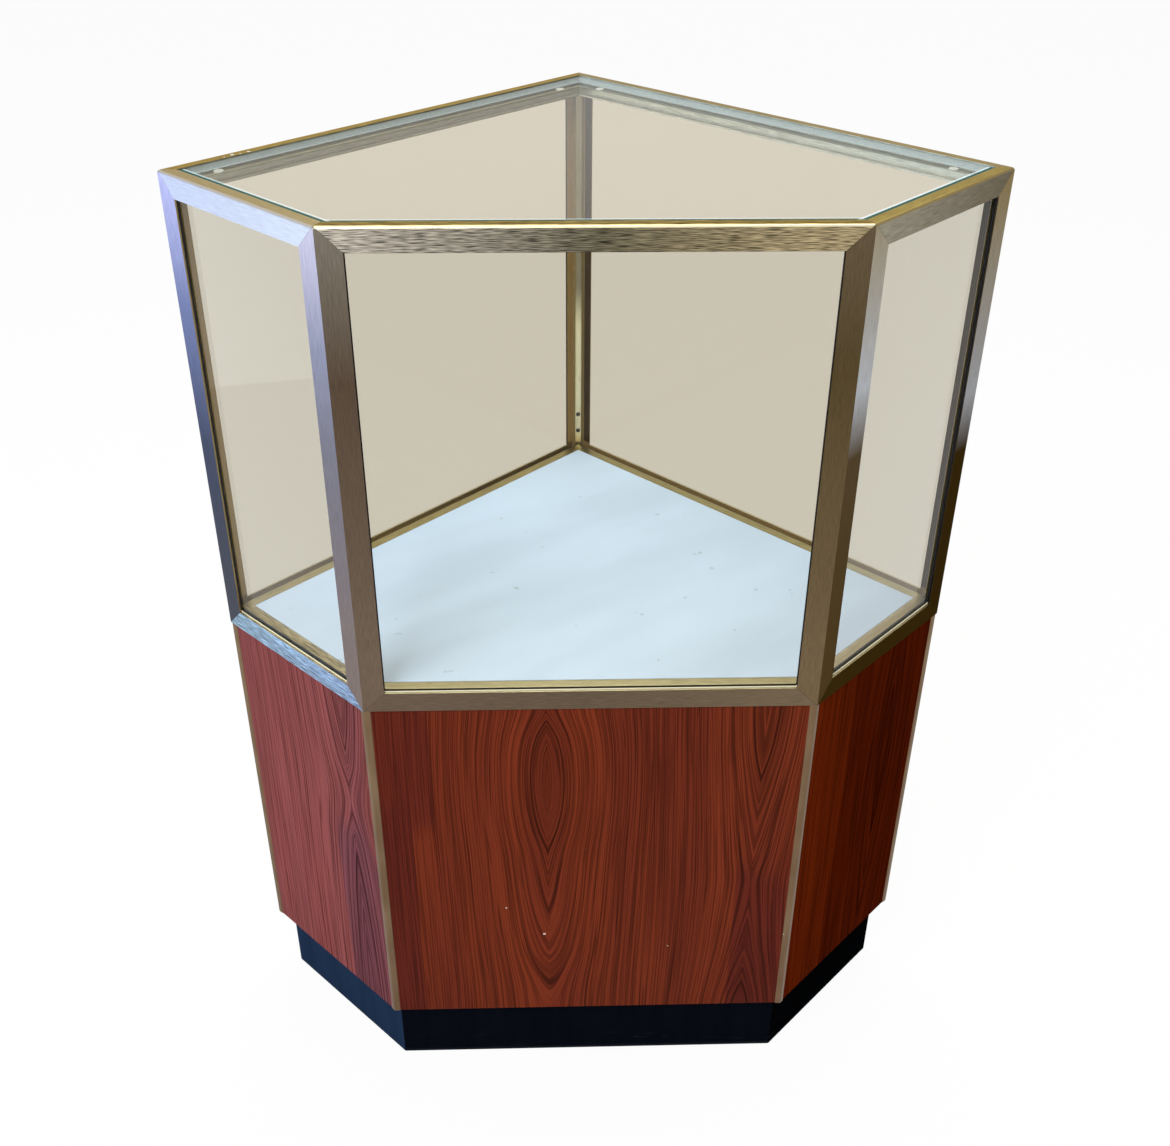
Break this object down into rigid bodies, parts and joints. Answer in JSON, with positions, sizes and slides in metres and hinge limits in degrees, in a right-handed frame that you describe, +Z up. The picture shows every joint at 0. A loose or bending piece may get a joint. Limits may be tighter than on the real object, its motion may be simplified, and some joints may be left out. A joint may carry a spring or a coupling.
{
  "type": "corner display showcase",
  "caption": "Free-standing corner showcase with a clipped-square plan: mitred aluminium frame with glass sides and loose glass top over a panelled cherry laminate base and toe kick.",
  "frame": {"origin": "on the floor, under the centre of the footprint's bounding box", "axes": "+Z up; -Y out of the slanted front, +Y towards the rear corner; +X to the right seen from the front; the case is mirror-symmetric about X = 0"},
  "size_m": [0.7312, 0.5176, 0.965],
  "materials": {
    "champagne_aluminium": "champagne anodised, brushed along each extrusion",
    "clear_glass": "clear float glass with polished green edges",
    "black_tape": "black foam glazing tape",
    "clear_bumper": "clear soft bumper",
    "black_rubber": "black setting block",
    "key_alloy": "plain die-cast",
    "dark_steel": "dark plated",
    "white_laminate": "pale smooth laminate on board",
    "zinc_steel": "zinc plated",
    "bare_softwood": "bare sawn",
    "raw_board": "raw particle board",
    "cherry_laminate": "cherry wood-grain laminate, satin, upright grain",
    "bronze_trim": "bronze anodised trim",
    "black_laminate": "black laminate, satin, scuffed"
  },
  "bodies": {
    "showcase": {"top_rail_front": "champagne_aluminium", "top_rail_right": "champagne_aluminium", "top_rail_rear_right": "champagne_aluminium", "top_rail_rear_left": "champagne_aluminium", "top_rail_left": "champagne_aluminium", "bottom_rail_front": "champagne_aluminium", "bottom_rail_right": "champagne_aluminium", "bottom_rail_rear_right": "champagne_aluminium", "bottom_rail_rear_left": "champagne_aluminium", "bottom_rail_left": "champagne_aluminium", "post_front_left": "champagne_aluminium", "post_front_right": "champagne_aluminium", "post_right": "champagne_aluminium", "post_rear": "champagne_aluminium", "post_left": "champagne_aluminium", "pane_front": "clear_glass", "pane_right": "clear_glass", "pane_rear_right": "clear_glass", "pane_rear_left": "clear_glass", "pane_left": "clear_glass", "glazing_tape_front": "black_tape", "glazing_tape_right": "black_tape", "glazing_tape_rear_right": "black_tape", "glazing_tape_rear_left": "black_tape", "glazing_tape_left": "black_tape", "glass_bumpers": "clear_bumper", "setting_blocks": "black_rubber", "corner_keys_top": "key_alloy", "corner_keys_bottom": "key_alloy", "key_screws": "dark_steel", "deck_board": "white_laminate", "frame_screws": "zinc_steel", "top_cleats": "bare_softwood", "corner_blocks": "bare_softwood", "base_floor": "raw_board", "base_panel_front": "cherry_laminate", "base_panel_right": "cherry_laminate", "base_panel_rear_right": "cherry_laminate", "base_panel_rear_left": "cherry_laminate", "base_panel_left": "cherry_laminate", "corner_trim_front_left": "bronze_trim", "corner_trim_front_right": "bronze_trim", "corner_trim_right": "bronze_trim", "corner_trim_rear": "bronze_trim", "corner_trim_left": "bronze_trim", "kick_front": "black_laminate", "kick_right": "black_laminate", "kick_rear_right": "black_laminate", "kick_rear_left": "black_laminate", "kick_left": "black_laminate", "kick_blocks": "bare_softwood"},
    "glass_lid": {"glass_top": "clear_glass"}
  },
  "joints": [
    {"name": "glass_top_lift", "type": "slide", "parent": "showcase", "child": "glass_lid", "axis": [0, 0, 1], "range_m": [0, 0.25]}
  ]
}
